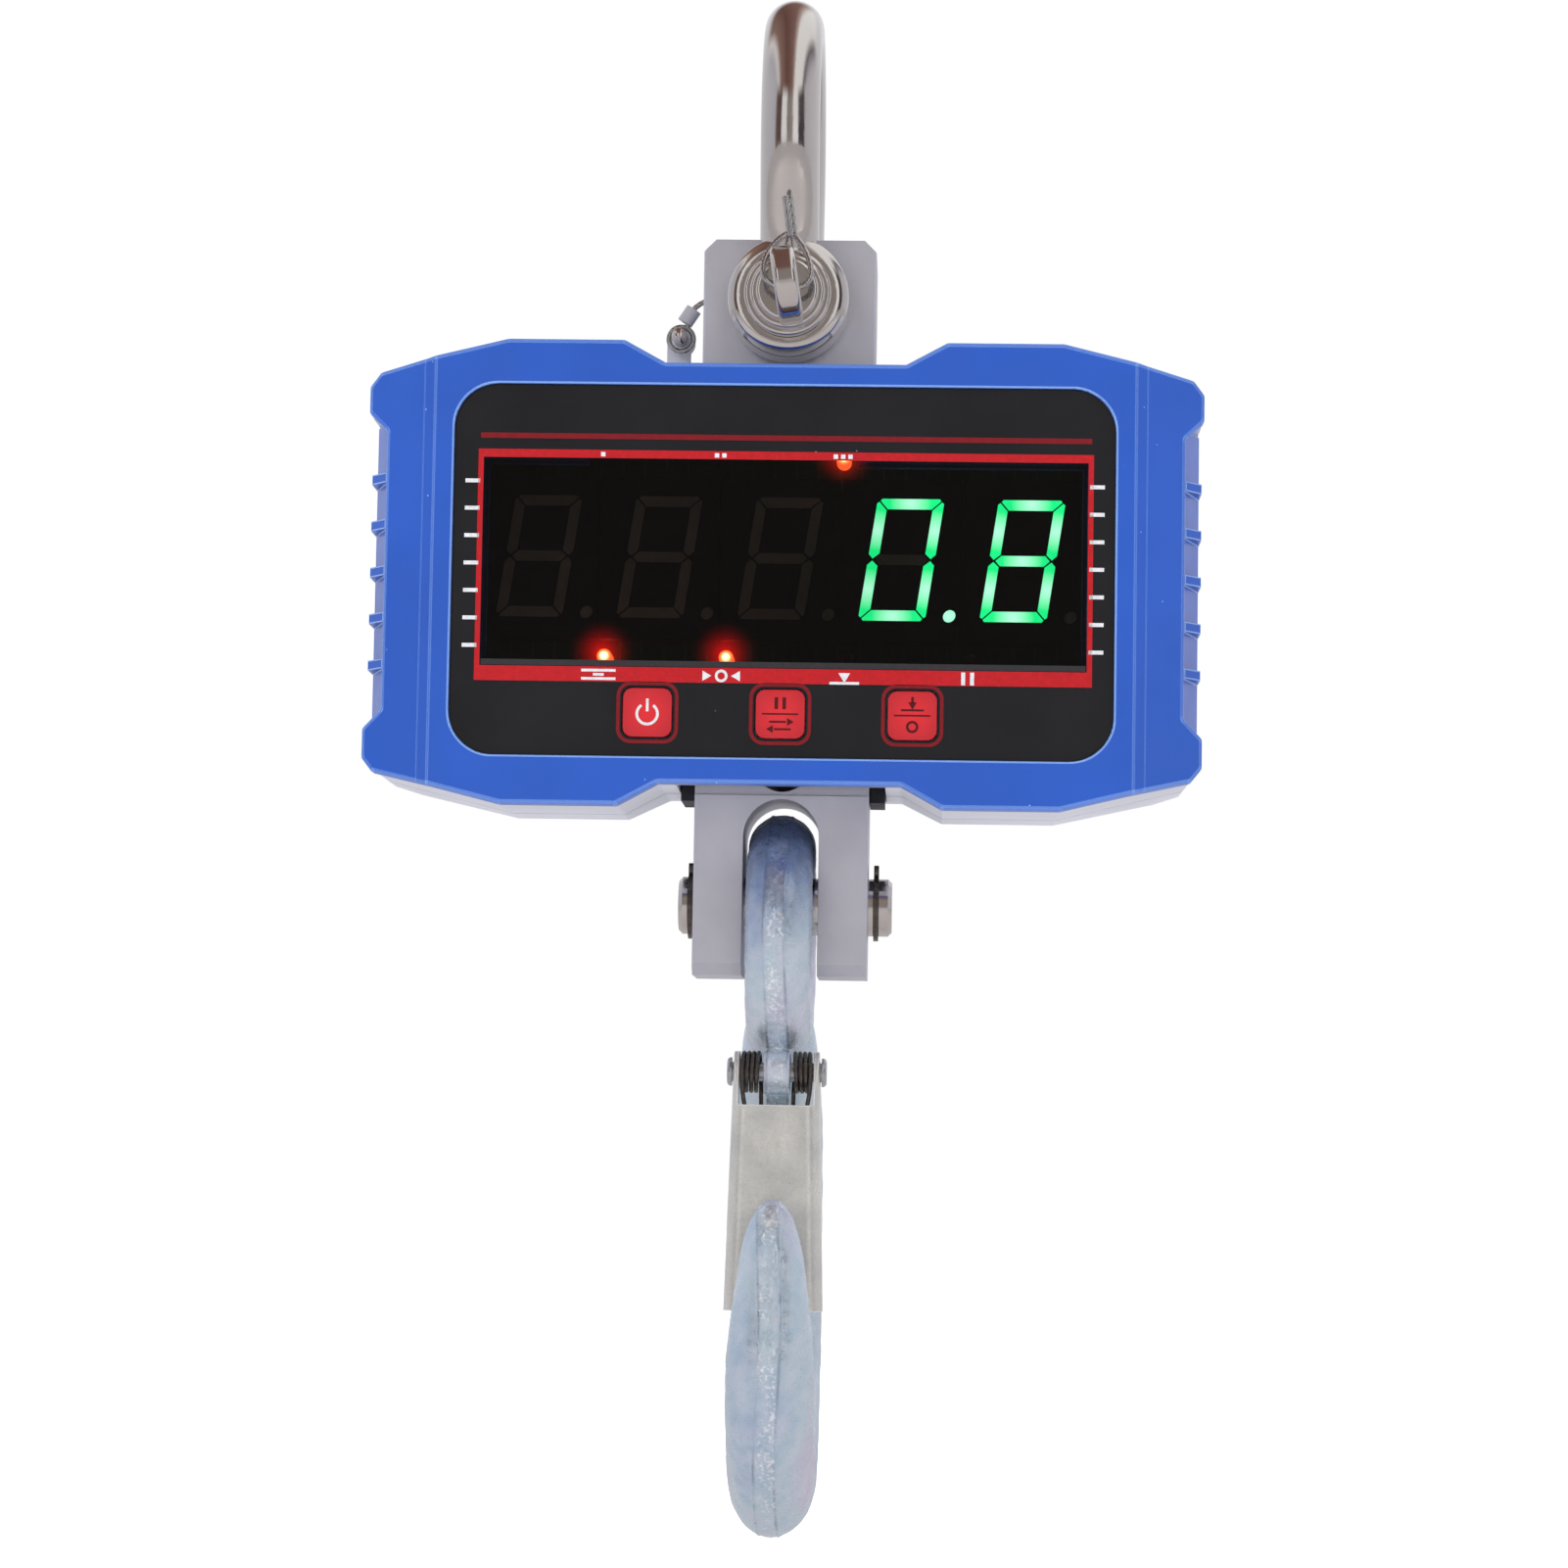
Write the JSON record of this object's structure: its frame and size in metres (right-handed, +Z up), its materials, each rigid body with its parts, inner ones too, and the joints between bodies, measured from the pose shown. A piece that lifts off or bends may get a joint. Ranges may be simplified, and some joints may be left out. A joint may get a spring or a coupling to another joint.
{
  "type": "crane scale",
  "caption": "Hanging electronic crane scale: bow shackle, load-cell block through a display case, and an eye hook with a sprung latch.",
  "frame": {"origin": "the point inside the shackle's crown that bears on the crane hook, on the load line", "axes": "+Z up along the load line, -Y towards the reader of the display, +X to the right of the display"},
  "size_m": [0.1714, 0.0829, 0.322],
  "materials": {
    "shackle_steel": "polished",
    "cell_aluminium": "satin",
    "bezel_blue": "satin",
    "case_grey": "satin",
    "black_rubber": "matte",
    "overlay_black": "gloss",
    "smoked_lens": "gloss",
    "key_red": "satin",
    "display_body": "matte",
    "lamp_clear": "gloss",
    "circuit_board": "satin",
    "black_plastic": "matte",
    "cell_wrap": "satin",
    "zinc_screw": "satin",
    "zinc_forging": "satin",
    "zinc_sheet": "satin",
    "spring_steel": "satin",
    "stainless_wire": "polished",
    "gauge_foil": "satin",
    "silicone": "satin",
    "cable_grey": "matte",
    "spring_nickel": "satin"
  },
  "bodies": {
    "shackle": {"shackle_bow": "shackle_steel", "shackle_pin": "shackle_steel", "mousing_wire": "stainless_wire"},
    "scale_body": {"load_cell": "cell_aluminium", "strain_gauges": "gauge_foil", "gauge_covers": "silicone", "front_bezel": "bezel_blue", "front_housing": "case_grey", "rear_housing": "case_grey", "housing_gaskets": "black_rubber", "cell_seals": "black_rubber", "case_screws": "zinc_screw", "bezel_screws": "zinc_screw", "cell_bracket": "zinc_screw", "bracket_cell_screws": "zinc_screw", "bracket_case_screws": "zinc_screw", "panel_overlay": "overlay_black", "display_window": "smoked_lens", "tact_switches": "black_plastic", "digit_modules": "display_body", "indicator_leds": "lamp_clear", "display_board": "circuit_board", "display_board_screws": "zinc_screw", "main_board": "circuit_board", "main_board_screws": "zinc_screw", "measuring_chip": "black_plastic", "buzzer": "black_plastic", "charge_socket": "black_plastic", "battery_cells": "cell_wrap", "battery_holder": "black_plastic", "battery_contacts": "spring_nickel", "load_cell_cable": "cable_grey", "board_ribbon": "cable_grey", "battery_lead": "cable_grey", "tether_cable": "stainless_wire", "tether_ferrule": "cell_aluminium", "tether_screw": "shackle_steel"},
    "hook_pin": {"hook_pin": "shackle_steel", "pin_circlips": "spring_steel"},
    "hook": {"hook": "zinc_forging", "latch_rivet": "zinc_screw"},
    "latch": {"latch": "zinc_sheet", "latch_spring": "spring_steel"},
    "power_key": {"power_key": "key_red"},
    "hold_unit_key": {"hold_unit_key": "key_red"},
    "tare_zero_key": {"tare_zero_key": "key_red"},
    "battery_door": {"battery_door": "case_grey", "door_screws": "zinc_screw"},
    "charge_plug": {"charge_plug": "black_rubber"}
  },
  "joints": [
    {"name": "shackle_swing", "type": "hinge", "parent": "shackle", "child": "scale_body", "pos_m": [0, 0, -0.055], "axis": [0, 1, 0], "range_deg": [-85, 85]},
    {"name": "hook_pin_spin", "type": "hinge", "parent": "scale_body", "child": "hook_pin", "pos_m": [0, 0, -0.1797], "axis": [1, 0, 0], "continuous": true},
    {"name": "hook_swing", "type": "hinge", "parent": "scale_body", "child": "hook", "pos_m": [0, 0, -0.1797], "axis": [1, 0, 0], "range_deg": [-45, 45]},
    {"name": "latch_swing", "type": "hinge", "parent": "hook", "child": "latch", "pos_m": [0, -0.0125, -0.2145], "axis": [1, 0, 0], "range_deg": [0, 34], "stiffness_Nm_per_rad": 0.05, "deforming": ["latch_spring"]},
    {"name": "power_key_press", "type": "slide", "parent": "scale_body", "child": "power_key", "axis": [0, 1, 0], "range_m": [0, 0.0004], "stiffness_N_per_m": 400},
    {"name": "hold_unit_key_press", "type": "slide", "parent": "scale_body", "child": "hold_unit_key", "axis": [0, 1, 0], "range_m": [0, 0.0004], "stiffness_N_per_m": 400},
    {"name": "tare_zero_key_press", "type": "slide", "parent": "scale_body", "child": "tare_zero_key", "axis": [0, 1, 0], "range_m": [0, 0.0004], "stiffness_N_per_m": 400},
    {"name": "battery_door_removal", "type": "slide", "parent": "scale_body", "child": "battery_door", "axis": [0, 1, 0], "range_m": [0, 0.03]},
    {"name": "charge_plug_flap", "type": "hinge", "parent": "scale_body", "child": "charge_plug", "pos_m": [0.048, 0.0206, -0.1216], "axis": [1, 0, 0], "range_deg": [0, 80]}
  ]
}
